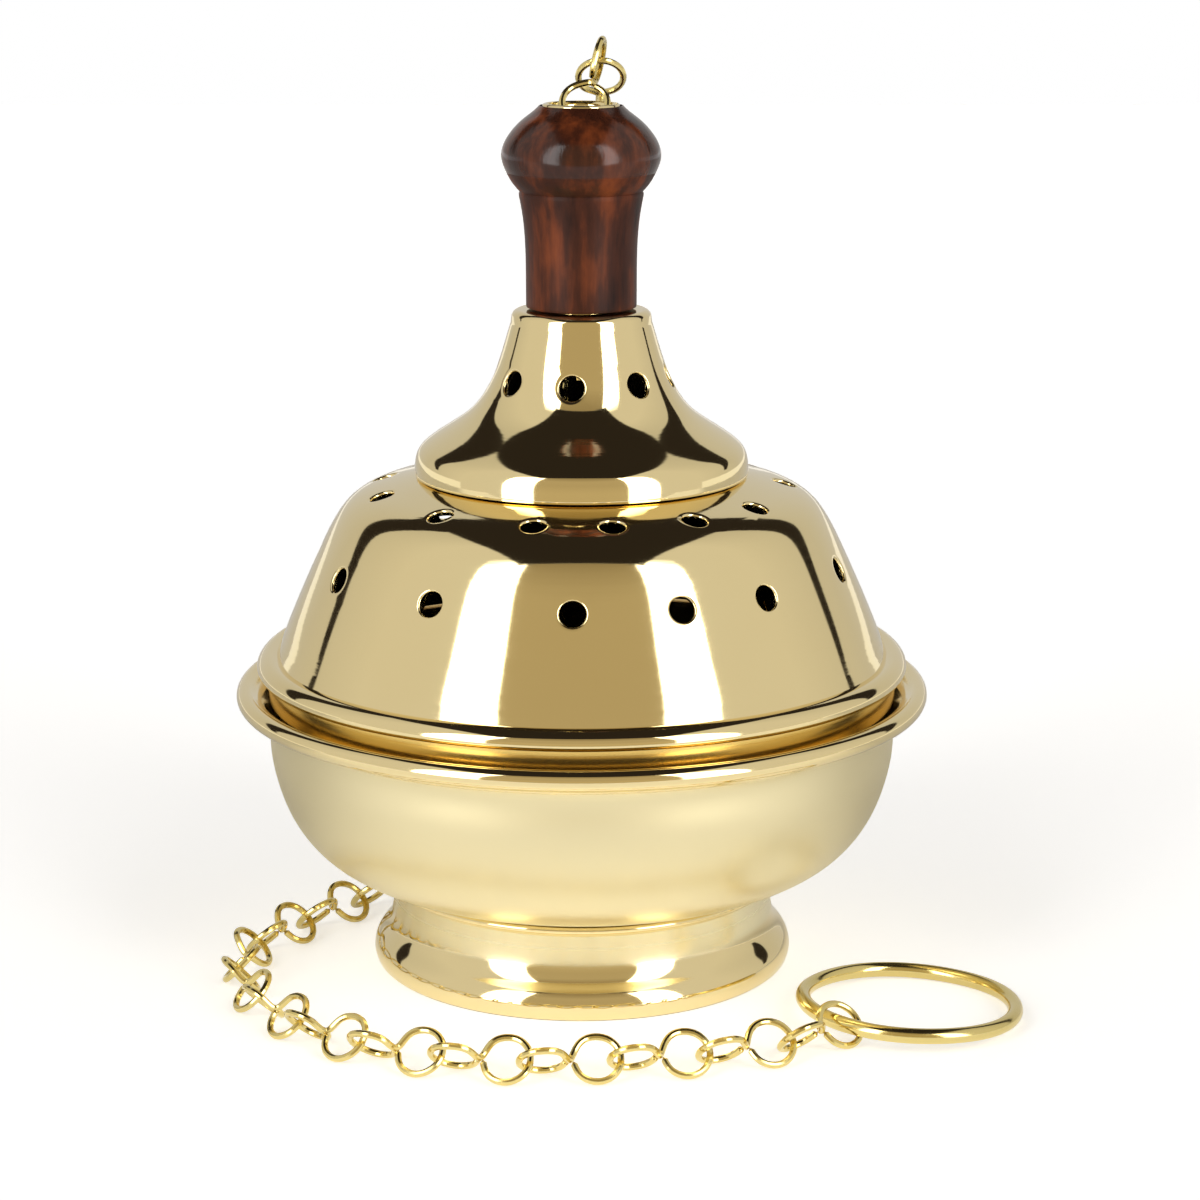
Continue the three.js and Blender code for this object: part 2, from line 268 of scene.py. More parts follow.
print("a wire of six rings narrows to", rounded_ends(6, 1.0, 2).round(2).tolist())


# %% [markdown]
# The link's wire leaves the waist at a slant, goes nearly once round, crosses the waist and goes
# round the other way in a plane a quarter turn off. Two arcs of a circle joined by a spline
# give that with an easy bend where the pliers let go.

# %% Chain link
WIRE = 1.15
LOOP_R = 3.85
LOOP_SPAN = 8.6            # between the middles of a link's two loops
LOOP_TURN = 316            # degrees of a loop that are bent round
WAIST_ANGLE = 140          # degrees from the link's length at which a loop meets the waist
LOOP_POINTS = 9            # points drawn on each loop
LINK_RINGS = 76
LINK_SIDES = 10


def link_path():
    """Middle of a link's wire: a loop, the waist, and a loop a quarter turn off.

    A loop's point at angle a is LOOP_R (cos a, sin a) from the loop's middle.
    """
    turn = np.linspace(0, LOOP_TURN, LOOP_POINTS)
    a = np.radians(180 + WAIST_ANGLE - LOOP_TURN + turn)
    b = np.radians(WAIST_ANGLE - turn)
    first = np.stack([-LOOP_SPAN / 2 + LOOP_R * np.cos(a), LOOP_R * np.sin(a), 0 * a], 1)
    second = np.stack([LOOP_SPAN / 2 + LOOP_R * np.cos(b), 0 * b, LOOP_R * np.sin(b)], 1)
    return spline(np.concatenate([first, [[0, 0, 0]], second]), LINK_RINGS)


LINK_PATH = link_path()
LINK_RADIUS = rounded_ends(LINK_RINGS, WIRE / 2, 1)
LINK_POINTS, LINK_FACES = wire_along(LINK_PATH, LINK_RADIUS, LINK_SIDES)
print("link wire", round(float(np.linalg.norm(np.diff(LINK_PATH, axis=0), axis=1).sum()), 1), "mm")


# %% [markdown]
# How a link is turned about its own length follows the model's solids: in the tube it goes step
# by step from square to the bow to facing the front, and after that each link lies with its two
# loops leaning forty-five degrees either way, whichever is nearer to the link before it.

# %% Place the links
BOW_AZIMUTH = 45
FRONT_LINKS = TUBE_LINKS + 2       # the links that face the front or turn towards it
LIES_BELOW = 15.65                 # a link whose middle is lower than this lies on the table
DRAPE_LINKS = range(5, 18)         # the links that follow the lid; the others stay with the bowl


def across_of(number, along, middle, before):
    """Direction of a link's first loop, made square to its length.

    In the tube it turns about the upright by equal steps. After that it is up plus or minus
    sideways, where up points away from the table or, on the hanging links, from the lid.
    """
    if number <= FRONT_LINKS:
        steps = max(TUBE_LINKS + 1 - number, 0)
        turn = np.radians((BOW_AZIMUTH - 90) * steps / TUBE_LINKS)
        side = np.array([np.cos(turn), np.sin(turn), 0])
    else:
        up = np.array([0, 0, 1.0]) if middle[2] < LIES_BELOW else np.array([middle[0], middle[1], 0])
        up = unit(up - along * (up @ along))
        sideways = np.cross(along, up)
        leaning = np.array([unit(up + sideways), unit(up - sideways)])
        side = leaning[np.argmax(abs(leaning @ before))]
        side = side if side @ before >= 0 else -side
    return unit(side - along * (side @ along))


def place_links():
    """One link between each hooking place and the next: its points turned by three axes, and moved."""
    placed, across = [], np.array([1.0, 0, 0])
    for joints in (standing, free):
        for start, stop in zip(joints, joints[1:]):
            number = len(placed) + 1
            along, middle = unit(stop - start), (start + stop) / 2
            across = across_of(number, along, middle, across)
            turn = np.stack([along, across, np.cross(along, across)])
            points = LINK_POINTS @ turn + middle
            body = "chain_drape" if number in DRAPE_LINKS else "bowl"
            piece = welded(new_piece(f"link_{number:02d}", points, LINK_FACES, body))
            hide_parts(f"chain_link_{number:02d}")
            placed.append(piece)
    return placed


links = place_links()
print(len(links), "links, of which", len(DRAPE_LINKS), "follow the lid")


# %% [markdown]
# The foot is a spun dish turned upside down and soldered under the bowl. Its outline is an
# ogee: a thin bead on top, a waist, and a lip that spreads to a rounded edge.

# %% Foot
SHEET = 1.2
GAP = 0.3                  # left open between pieces that touch
FOOT_TOP = 15.65
FOOT_LIP = {"r": 35.8, "z": 0.9, "roll": 0.9}
FOOT_BEAD = {"r": 33.45, "z": 14.95, "roll": 0.7}

foot_ceiling = [[0, FOOT_TOP - SHEET], [31.0, FOOT_TOP - SHEET]]
foot_inside = spline([[31.4, 14.2], [31.7, 10], [32.9, 5.6], [34.6, 1.2], [34.9, 0.0]], 24)
foot_flat = [[35.2, 0], [36.1, 0]]
foot_waist = spline([[36.6, 0.6], [36.85, 1.45], [36.83, 2.51], [36.58, 3.48], [36.11, 4.36],
                     [35.46, 5.18], [34.78, 5.99], [34.22, 6.85], [33.72, 8.26], [33.47, 9.9],
                     [33.38, 11.85], [33.35, 13.9]], 72)
foot_profile = np.concatenate([foot_ceiling, foot_inside, foot_flat, arc(FOOT_LIP, -85, -35, 6),
                               foot_waist, arc(FOOT_BEAD, -70, 88, 12), [[0, FOOT_TOP]]])
foot = spun("brass_foot", foot_profile, "bowl")
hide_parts("foot")
measured(foot)

# %% [markdown]
# The bowl is one spun sheet: flat where it is soldered to the foot, round at the side, then
# drawn out into a small flare whose edge is rolled over. Inside the roll a step takes the lid.

# %% Bowl
BOWL_FLOOR = FOOT_TOP + GAP
RIM = {"r": 58.4, "z": 48.5, "roll": 1.7}
WALL_BELOW_FLARE = 110     # samples of the wall's outline that the inner side follows
SEAT_FOOT = 41.9           # height at which the inner side meets the step for the lid

bowl_wall = spline([[28, BOWL_FLOOR], [33, 16.25], [38, 17.3], [42.4, 19.1], [46.2, 21.6],
                    [49.3, 24.9], [51.8, 29.2], [53.5, 34.2], [54.35, 39], [54.5, 42.4],
                    [54.8, 44.3], [55.7, 45.9], [57.2, 46.65], [58.8, 46.85]], 150)
bowl_rim = arc(RIM, -70, 125, 22)
bowl_seat = spline([[57.3, 49.8], [56.5, 49.3], [55.4, 48.1], [54.2, 46.4], [53.45, 44.4],
                    [53.3, 42.4]], 30)
bowl_inner = offset(bowl_wall[:WALL_BELOW_FLARE], -SHEET)
bowl_inner = bowl_inner[bowl_inner[:, 1] < SEAT_FOOT][::-1]
bowl_profile = np.concatenate([[[0, BOWL_FLOOR]], bowl_wall, bowl_rim[1:-1], bowl_seat, bowl_inner,
                               [[0, BOWL_FLOOR + SHEET]]])
bowl = spun("brass_bowl", bowl_profile, "bowl")
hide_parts("bowl")
measured(bowl)


# %% [markdown]
# The lid is pierced, and a hole cut with a boolean leaves long thin triangles that show on a
# mirror finish. Here the holes are part of the grid instead: the cells round each hole are left
# out, and rings of points run from their border to the hole's edge, over a small polished
# bevel, down the thickness of the sheet and out again on the inner side.

# %% Sheet of the lid
HOLE_R = 2.15
HOLE_BEVEL = 0.38
HOLE_RING = 0.45           # plain sheet between the bevel and the first ring round it
HOLE_CELLS = 1.0           # least sheet between the bevel and the border of the cells left out
LID_COLUMNS = 240


def dense(points, count=3000):
    """A spline kept as many points with their outward normals and distance along it, 0 to 1."""
    p = spline(points, count)
    step = np.linalg.norm(np.diff(p, axis=0), axis=1)
    d = np.gradient(p, axis=0)
    d /= np.linalg.norm(d, axis=1)[:, None]
    length = step.sum()
    return {"p": p, "n": np.stack([d[:, 1], -d[:, 0]], 1), "length": length,
            "u": np.concatenate([[0], np.cumsum(step)]) / length}


def sheet_points(curve, thickness, u, a, depth):
    """Points of a spun sheet: the outline at u, moved inwards by depth, at angle a."""
    at = np.stack([np.interp(u, curve["u"], curve["p"][:, k]) for k in (0, 1)], -1)
    normal = np.stack([np.interp(u, curve["u"], curve["n"][:, k]) for k in (0, 1)], -1)
    r, z = np.moveaxis(at - normal * np.asarray(depth)[..., None] * thickness, -1, 0)
    return np.stack([r * np.cos(a), r * np.sin(a), z], -1)


def hole_steps(thickness):
    """Distance from a hole's middle, and depth from 0 to 1, of each ring through the sheet.

    The bevel is a quarter circle: at angle b the distance grows by bevel (1 - cos b), and the
    depth is bevel (1 - sin b). The same steps in reverse order end on the inner side.
    """
    b = np.radians([90, 60, 30, 0])
    distance = HOLE_R + HOLE_BEVEL * (1 - np.cos(b))
    depth = HOLE_BEVEL * (1 - np.sin(b)) / thickness
    widest = HOLE_R + HOLE_BEVEL + HOLE_RING
    return (np.concatenate([[widest], distance, distance[::-1], [widest]]),
            np.concatenate([[0], depth, 1 - depth[::-1], [1]]))


print("a hole's rings lie", hole_steps(SHEET)[0].round(2).tolist(), "mm from its middle")


# %% [markdown]
# Each hole takes a rectangle out of the grid. The rings have as many points as its border, and
# each point keeps the direction in which it is seen from the hole's middle, so the faces between
# border and hole fan out evenly.

# %% Holes in the sheet
def cells_round(u0, a0, r0, length, rows, columns):
    """First and last row and column of the cells that lie within reach of a hole's middle."""
    reach = HOLE_R + HOLE_BEVEL + HOLE_CELLS
    i0 = int(np.floor((u0 - reach / length) * (rows - 1)))
    i1 = int(np.ceil((u0 + reach / length) * (rows - 1)))
    j0 = int(np.floor((a0 - reach / r0) / (2 * np.pi) * columns))
    j1 = int(np.ceil((a0 + reach / r0) / (2 * np.pi) * columns))
    return i0, i1, j0, j1


def border_of(i0, i1, j0, j1):
    """Rows and columns of the grid points round a rectangle of cells, once round."""
    rows = np.concatenate([np.full(j1 - j0, i0), np.arange(i0, i1),
                           np.full(j1 - j0, i1), np.arange(i1, i0, -1)])
    columns = np.concatenate([np.arange(j0, j1), np.full(i1 - i0, j1),
                              np.arange(j1, j0, -1), np.full(i1 - i0, j0)])
    return rows, columns


def pierced_sheet(curve, thickness, holes, rows, columns=LID_COLUMNS):
    """Points and faces of both sides of a spun sheet with round holes.

    holes is a list of (azimuth in degrees from the front, height). Both sides are grids in
    (u, a). A ring's point at distance d in direction w from a hole's middle (u0, a0) is at
    u0 + d sin w / length and a0 + d cos w / radius.
    """
    length, one_side = curve["length"], rows * columns
    u_grid, a_grid = np.meshgrid(np.linspace(0, 1, rows),
                                 np.linspace(0, 2 * np.pi, columns, endpoint=False), indexing="ij")
    points = [sheet_points(curve, thickness, u_grid, a_grid, depth + 0 * u_grid).reshape(-1, 3)
              for depth in (0, 1)]
    keep, faces, total = np.ones((rows - 1, columns), bool), [], 2 * one_side
    distance, depth = hole_steps(thickness)
    for azimuth, height in holes:
        nearest = int(np.argmin(abs(curve["p"][:, 1] - height)))
        u0, r0, a0 = curve["u"][nearest], curve["p"][nearest, 0], np.radians(azimuth - 90)
        i0, i1, j0, j1 = cells_round(u0, a0, r0, length, rows, columns)
        keep[i0:i1, np.arange(j0, j1) % columns] = False
        ii, jj = border_of(i0, i1, j0, j1)
        across = (jj * 2 * np.pi / columns - a0) * r0
        along = (ii / (rows - 1) - u0) * length
        way = np.arctan2(along, across)
        u = u0 + distance[:, None] * np.sin(way) / length
        a = a0 + distance[:, None] * np.cos(way) / np.interp(u, curve["u"], curve["p"][:, 0])
        points.append(sheet_points(curve, thickness, u, a, depth[:, None] + 0 * a).reshape(-1, 3))
        border = ii * columns + jj % columns
        rings = total + np.arange(u.size).reshape(u.shape)
        index = np.concatenate([[border], rings, [border + one_side]])
        total += u.size
        beside = np.roll(index, -1, axis=1)
        faces.append(np.stack([index[:-1], beside[:-1], beside[1:], index[1:]], -1).reshape(-1, 4))
    quads = grid_faces(rows, columns).reshape(rows - 1, columns, 4)[keep]
    faces += [quads, quads[:, ::-1] + one_side]
    return np.concatenate(points), np.concatenate(faces)


def with_strips(points, faces, profiles, columns=LID_COLUMNS):
    """Adds unpierced strips of revolution to points and faces."""
    for profile in profiles:
        faces = np.concatenate([faces, grid_faces(len(profile), columns, len(points))])
        points = np.concatenate([points, turned(profile, columns)])
    return points, faces


# %% [markdown]
# The lid's dome closes the bowl. Its edge is rolled outwards to a bead, and the top stays open
# under the bell, so that smoke leaves by both rows of holes and by the bell's. The holes were
# drilled by eye: the ones that are seen have their own places, and the rest are evenly spaced.

# %% Dome
LID_SHEET = 1.1
LID_WELD = 2e-6            # metres
LID_EDGE = {"r": 55.38, "z": 53.48, "roll": 1.05}
DOME_MOUTH_R = 20
DOME_HIGH_HOLES = {"z": 84.4, "count": 13, "front": [-74, -41, -12.5, 8.5, 32, 55.5, 93]}
DOME_LOW_HOLES = {"z": 72.4, "count": 13, "front": [-62, -32, -1.5, 21, 41.5, 72.5]}


def hole_row(row):
    """(degrees round from the front, height) of each hole: those seen, then equal steps behind."""
    front, unseen = row["front"], row["count"] - len(row["front"])
    step = (front[0] + 360 - front[-1]) / (unseen + 1)
    behind = front[-1] + step * np.arange(1, unseen + 1)
    return [(azimuth, row["z"]) for azimuth in np.concatenate([front, behind])]


dome_curve = dense([[52.95, 55.55], [52.55, 56.5], [51.15, 60.05], [49.4, 64.3], [47.2, 69.3],
                    [44.9, 74.3], [42.6, 78.7], [40.4, 81.6], [37.4, 83.6], [33.2, 84.95],
                    [29, 86.12], [25, 87.15], [DOME_MOUTH_R, 88.2]])
dome_holes = hole_row(DOME_HIGH_HOLES) + hole_row(DOME_LOW_HOLES)
dome_top, dome_bottom = dome_curve["p"][-1], dome_curve["p"][0]
dome_mouth = [dome_top, dome_top - LID_SHEET * dome_curve["n"][-1]]
dome_flange = spline([[56.43, 53.5], [56.33, 54.12], [56.01, 54.68], [55.52, 55.19],
                      [55.1, 55.46], [54.6, 55.65], [54.0, 55.7], [53.4, 55.64]], 24)
dome_edge = np.concatenate([[dome_bottom - LID_SHEET * dome_curve["n"][0]],
                            [[51.7, 54.2], [52.2, 52.8], [52.9, 52.43]],
                            arc(LID_EDGE, -90, -4, 12), dome_flange, [dome_bottom]])
points, faces = pierced_sheet(dome_curve, LID_SHEET, dome_holes, 90)
points, faces = with_strips(points, faces, [dome_mouth, dome_edge])
dome = welded(new_piece("lid_dome_sheet", points, faces, "lid"), LID_WELD)
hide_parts("lid_dome")
measured(dome)

# %% [markdown]
# Under the lid's edge sits a short turned ring that drops into the bowl's step and centres the
# lid. Its brass is darker, more orange and a little rougher than the polished brass, and it is the
# dull gold channel between lid and rim.

# %% Seat ring
seat_profile = np.array([[51.8, 43.8], [52.8, 43.8], [52.8, 46.1], [54.5, 48.1], [54.5, 52.1],
                         [51.8, 52.1], [51.8, 43.8]])
seat_ring = spun("lid_seat", seat_profile, "lid")
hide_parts("lid_seat_ring")
measured(seat_ring)

# %% [markdown]
# The bell stands on the dome: a rounded band, a hollow sweep upwards and a neck with a row of
# holes, closed by a flat top that the handle sits on.

# %% Bell
BELL_TOP = 114.9
BELL_SHOULDER = {"r": 10.6, "z": 113.5, "roll": 1.4}
BELL_HOLES = {"z": 103.6, "count": 8, "front": [-51, -6, 40]}
TUBE = {"bore": 5.0, "r": 5.7, "bottom": 103.5}
TUBE_HOLE = TUBE["r"] + GAP

bell_curve = dense([[28.72, 86.95], [28.68, 88.07], [28.55, 89.2], [28.3, 90.15], [27.85, 91],
                    [27.1, 91.8], [26.1, 92.6], [24.63, 93.62], [22.82, 94.78], [21.02, 95.98],
                    [19.28, 97.32], [17.76, 98.94], [16.52, 100.74], [15.48, 102.67],
                    [14.6, 104.71], [13.88, 106.78], [12.59, 110.99], [12.05, 112.75]])
bell_low, bell_high = bell_curve["p"][0], bell_curve["p"][-1]
bell_inner_low = bell_low - SHEET * bell_curve["n"][0]
bell_inner_high = bell_high - SHEET * bell_curve["n"][-1]
bell_edge = np.concatenate([[bell_inner_low],
                            [[27.6, 86.62], [27.8, 86.5], [28.4, 86.5], [28.65, 86.65]], [bell_low]])
bell_crown = np.concatenate([[bell_high], arc(BELL_SHOULDER, 20, 90, 10), [[TUBE_HOLE, BELL_TOP]],
                             [[TUBE_HOLE, BELL_TOP - SHEET], [10.2, BELL_TOP - SHEET]],
                             [bell_inner_high]])
points, faces = pierced_sheet(bell_curve, SHEET, hole_row(BELL_HOLES), 110)
points, faces = with_strips(points, faces, [bell_edge, bell_crown])
bell = welded(new_piece("lid_bell_sheet", points, faces, "lid"), LID_WELD)
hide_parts("lid_bell")
measured(bell)

# %% [markdown]
# The handle is turned from dark hardwood, so it is spun like the brass: a straight grip that
# widens to a scored line, and a knob whose top is cut away for the tube's cup.

# %% Handle
TURNED_COLUMNS = 160
HANDLE_BOTTOM = BELL_TOP + GAP
HANDLE_TOP = 149.2
CUP_R = 6.95               # of the hollow in the knob that the tube's cup sits in

handle_foot = [[TUBE_HOLE, HANDLE_BOTTOM], [9.0, HANDLE_BOTTOM], [9.35, HANDLE_BOTTOM + 0.15]]
handle_grip = spline([[9.42, 115.7], [9.43, 119], [9.45, 123], [9.6, 127.2], [9.98, 131],
                      [10.55, 134.2]], 60)
handle_score = [[10.56, 134.55], [10.42, 134.85], [10.66, 135.15]]
handle_knob = spline([[10.95, 135.45], [11.7, 136.4], [12.5, 137.8], [13.3, 139.7], [13.5, 141.1],
                      [13.15, 142.7], [11.9, 144.8], [9.75, 147], [7.6, 148.7],
                      [7.1, HANDLE_TOP]], 70)
handle_bore = [[CUP_R, HANDLE_TOP], [CUP_R, 148.2], [TUBE_HOLE, 146.8], [TUBE_HOLE, HANDLE_BOTTOM]]
handle_profile = np.concatenate([handle_foot, handle_grip, handle_score, handle_knob, handle_bore])
handle = spun("turned_handle", handle_profile, "lid", TURNED_COLUMNS)
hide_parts("handle")
measured(handle)

# %% [markdown]
# The chain would saw through the wood, so a brass tube lines the handle. Its upper end is
# spread to a smooth cup, and its lower end is held by a nut and a washer under the bell.

# %% Tube
TUBE_COLUMNS = 96

tube_cup = spline([[TUBE["r"], 147.3], [6.15, 148.0], [6.5, 148.7], [6.55, 149.15], [6.35, 149.5],
                   [6.0, 149.55], [5.6, 149.25], [5.25, 148.6], [TUBE["bore"], 147.6]], 40)
tube_end = [[TUBE["bore"], TUBE["bottom"]], [TUBE["r"], TUBE["bottom"]]]
tube = spun("brass_tube", np.concatenate([tube_end, tube_cup, tube_end[:1]]), "lid",
            TUBE_COLUMNS)
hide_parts("chain_tube")
measured(tube)

# %% [markdown]
# Inside, out of sight while the lid is on, a rod bent to a bow is soldered to the bowl's wall
# and carries the chain on its top. Half of it is drawn and mirrored, so both ends match.

# %% Bow
BOW_WIRE = 2.6
BOW_TOP = MOUTH_JOINT_Z - TUBE_LINKS * PITCH + 1.4
BOW_RINGS = 120
BOW_SIDES = 16

bow_half = np.array([[51.2, 36.5], [49.7, 43], [47, 54], [41.6, 65], [31.6, 76], [18, 84.6],
                     [7, BOW_TOP - 0.8]])
bow_line = spline(np.concatenate([bow_half * [-1, 1], [[0, BOW_TOP]], bow_half[::-1]]), BOW_RINGS)
bow_turn = np.radians(BOW_AZIMUTH)
bow_path = np.stack([bow_line[:, 0] * np.cos(bow_turn), bow_line[:, 0] * np.sin(bow_turn),
                     bow_line[:, 1]], 1)
points, faces = wire_along(bow_path, rounded_ends(BOW_RINGS, BOW_WIRE / 2, 1.5), BOW_SIDES)
bow = welded(new_piece("chain_bow", points, faces, "bowl"))
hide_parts("hanging_bow")
measured(bow)

# %% [markdown]
# A loose pan of blackened steel stands in the bowl for the charcoal, so that the brass isn't
# burnt and the ash is carried out with it. It is a dish with a small rolled edge.

# %% Charcoal pan
PAN_SHEET = 0.9
PAN_FLOOR = BOWL_FLOOR + SHEET + GAP
PAN_EDGE = {"r": 36, "z": PAN_FLOOR + 13.05, "roll": 0.45}

pan_outer = spline([[24, PAN_FLOOR], [27, PAN_FLOOR + 0.1], [29.2, PAN_FLOOR + 1.6],
                    [33, PAN_FLOOR + 10.6], [34.6, PAN_FLOOR + 12.3], [36, PAN_FLOOR + 12.6]], 50)
pan_inner = offset(pan_outer, -PAN_SHEET)[::-1]
pan_profile = np.concatenate([[[0, PAN_FLOOR]], pan_outer[:-2], arc(PAN_EDGE, -70, 90, 8),
                              pan_inner[2:], [[0, PAN_FLOOR + PAN_SHEET]]])
pan = spun("charcoal_pan", pan_profile, "pan", TURNED_COLUMNS)
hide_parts("coal_pan")
measured(pan)

# %% [markdown]
# The finger ring is heavier wire bent round and closed. It lies almost flat, with its near side
# lifted by the last link, and by hand it is never quite round: two slow waves, two and five to
# the turn, push its radius in and out by less than one part in a hundred.

# %% Finger ring
RING = {"r": 17.9, "wire": 2.6, "x": 55.2, "y": -33.4, "hook": (42.95, -46.45, 3.5), "bent": 0.008}
RING_STEPS = 180
RING_SIDES = 20

ring_hook = np.array(RING["hook"])
ring_turn = np.linspace(0, 2 * np.pi, RING_STEPS, endpoint=False)
ring_tilt = np.arcsin((ring_hook[2] - RING["wire"] / 2) / (2 * RING["r"]))
to_hook = unit(np.array([ring_hook[0] - RING["x"], ring_hook[1] - RING["y"]]))
waves = np.sin(2 * ring_turn + 1) + 0.6 * np.sin(5 * ring_turn)
bent = RING["r"] * (1 + RING["bent"] * waves)
near = bent * np.cos(ring_turn)
side = bent * np.sin(ring_turn)
ring_path = np.stack([RING["x"] + near * np.cos(ring_tilt) * to_hook[0] - side * to_hook[1],
                      RING["y"] + near * np.cos(ring_tilt) * to_hook[1] + side * to_hook[0],
                      ring_hook[2] - (RING["r"] - near) * np.sin(ring_tilt)], 1)
points, faces = wire_along(ring_path, RING["wire"] / 2, RING_SIDES, closed=True)
ring = welded(new_piece("ring", points, faces, "ring"))
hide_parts("finger_ring")
measured(ring)


# %% [markdown]
# A material is a small graph of nodes that ends in a shader. These helpers make a node with its
# inputs in one line: an input that is another node's output becomes a link, and any other value
# is written on the socket itself.

# %% Node helpers
def nodes_of(name):
    """A new material, its node tree and its shader."""
    material = bpy.data.materials.new(name)
    material.use_nodes = True
    tree = material.node_tree
    shader = tree.nodes["Principled BSDF"]
    return material, tree, shader


def node(tree, kind, inputs=(), **settings):
    """A node of a kind, with its settings and its inputs, by socket name or number."""
    made = tree.nodes.new(kind)
    for key, value in settings.items():
        setattr(made, key, value)
    for key, value in dict(inputs).items():
        if isinstance(value, bpy.types.NodeSocket):
            tree.links.new(value, made.inputs[key])
        else:
            made.inputs[key].default_value = value
    return made


def math(tree, operation, *values):
    """One number worked out from others."""
    return node(tree, "ShaderNodeMath", dict(enumerate(values)), operation=operation).outputs[0]


def between(tree, value, low, high, soft):
    """One where value lies between low and high, with edges soft wide."""
    rise = node(tree, "ShaderNodeMapRange",
                {"Value": value, "From Min": low - soft, "From Max": low + soft},
                interpolation_type="SMOOTHSTEP").outputs[0]
    fall = node(tree, "ShaderNodeMapRange",
                {"Value": value, "From Min": high + soft, "From Max": high - soft},
                interpolation_type="SMOOTHSTEP").outputs[0]
    return math(tree, "MULTIPLY", rise, fall)


def colours_along(tree, value, stops):
    """A colour that follows value from one stop, (place, colour), to the next."""
    ramp = node(tree, "ShaderNodeValToRGB", {"Fac": value})
    elements = ramp.color_ramp.elements
    while len(elements) < len(stops):
        elements.new(0.5)
    for element, (place, color) in zip(elements, stops):
        element.position = place
        element.color = (*color, 1)
    return ramp.outputs[0]


def mixed(tree, factor, a, b):
    """The colour (1 - factor) a + factor b."""
    mix = node(tree, "ShaderNodeMix", {"Factor": factor}, data_type="RGBA")
    for name, value in (("A", a), ("B", b)):
        if isinstance(value, bpy.types.NodeSocket):
            tree.links.new(value, mix.inputs[name])
        else:
            mix.inputs[name].default_value = (*value, 1)
    return mix.outputs["Result"]


# %% [markdown]
# Polished brass is a metal shader with a low roughness. What makes it spun brass are the faint
# rings that the polishing wheel leaves round the axis, so the noise is read on the distance from
# the axis and the height, and not on x and y. The bowl's belly and the foot's waist were brushed
# and not buffed, so there a satin zone between two heights takes over.

# %% Brass
BRASS = (0.91, 0.765, 0.425)
DULLED = (0.97, 0.95, 0.9)         # what the dull patches keep of the colour
WHEEL_MARKS = 900.0                # to the metre, so about one ring to a millimetre
DULL_PATCHES = 45.0                # to the metre
MARKS_DEPTH = 0.00004              # metres
ROUGHEST = 1.5                     # roughness of the deepest marks, times the plain one
SATIN_GRAIN = 0.06                 # roughness that the marks add in a satin zone
BUFFED = {"roughness": 0.05, "rings": 0.2}


def spun_coordinates(tree):
    """(distance from the axis, 0, height) of the point, in metres, and the point itself."""
    place = node(tree, "ShaderNodeTexCoord").outputs["Object"]
    axes = node(tree, "ShaderNodeSeparateXYZ", {0: place}).outputs
    flat = node(tree, "ShaderNodeCombineXYZ", {0: axes["X"], 1: axes["Y"]}).outputs[0]
    radius = node(tree, "ShaderNodeVectorMath", {0: flat}, operation="LENGTH").outputs["Value"]
    return node(tree, "ShaderNodeCombineXYZ", {0: radius, 2: axes["Z"]}).outputs[0], place


def brass(name, color, roughness, rings, satin=None):
    """Spun brass, with wheel marks rings strong. satin names a brushed zone of height, in metres.

    Roughness runs from the plain one to ROUGHEST times it with the marks, and in the zone it is
    the satin one plus SATIN_GRAIN times the marks.
    """
    material, tree, shader = nodes_of(name)
    spun_place, place = spun_coordinates(tree)
    shader.inputs["Metallic"].default_value = 1.0
    marks = node(tree, "ShaderNodeTexNoise",
                 {"Vector": spun_place, "Scale": WHEEL_MARKS, "Detail": 3.0}).outputs[0]
    patches = node(tree, "ShaderNodeTexNoise",
                   {"Vector": place, "Scale": DULL_PATCHES, "Detail": 4.0}).outputs[0]
    rough = node(tree, "ShaderNodeMapRange", {"Value": marks, "From Min": 0.3, "From Max": 0.75,
                                              "To Min": roughness,
                                              "To Max": roughness * ROUGHEST}).outputs[0]
    tint = mixed(tree, patches, color, tuple(c * kept for c, kept in zip(color, DULLED)))
    if satin:
        height = node(tree, "ShaderNodeSeparateXYZ", {0: place}).outputs["Z"]
        zone = between(tree, height, satin["low"], satin["high"], satin["soft"])
        grain = math(tree, "MULTIPLY", marks, SATIN_GRAIN)
        brushed = math(tree, "ADD", satin["roughness"], grain)
        added = math(tree, "MULTIPLY", zone, math(tree, "SUBTRACT", brushed, rough))
        rough = math(tree, "ADD", rough, added)
        tint = mixed(tree, zone, tint, satin["color"])
    tree.links.new(rough, shader.inputs["Roughness"])
    tree.links.new(tint, shader.inputs["Base Color"])
    if rings:
        bump = node(tree, "ShaderNodeBump",
                    {"Height": marks, "Strength": rings, "Distance": MARKS_DEPTH})
        tree.links.new(bump.outputs[0], shader.inputs["Normal"])
    return material


BELLY_SATIN = {"low": 0.005, "high": 0.0455, "soft": 0.0008, "roughness": 0.33,
               "color": (0.85, 0.75, 0.46)}
WAIST_SATIN = {"low": 0.0087, "high": 0.0143, "soft": 0.0008, "roughness": 0.24,
               "color": (0.92, 0.83, 0.54)}
polished = brass("polished_brass", BRASS, **BUFFED)
belly = brass("bowl_brass", BRASS, **BUFFED, satin=BELLY_SATIN)
waist = brass("foot_brass", BRASS, **BUFFED, satin=WAIST_SATIN)
# darker, more orange and rougher than the polished brass; on the seat ring and the bow
deep_gold = brass("deep_gold_brass", (0.84, 0.6, 0.19), 0.15, 0.5)
wire_brass = brass("chain_brass", (0.8, 0.66, 0.27), 0.12, 0)
print("the belly's material has", len(belly.node_tree.nodes), "nodes")
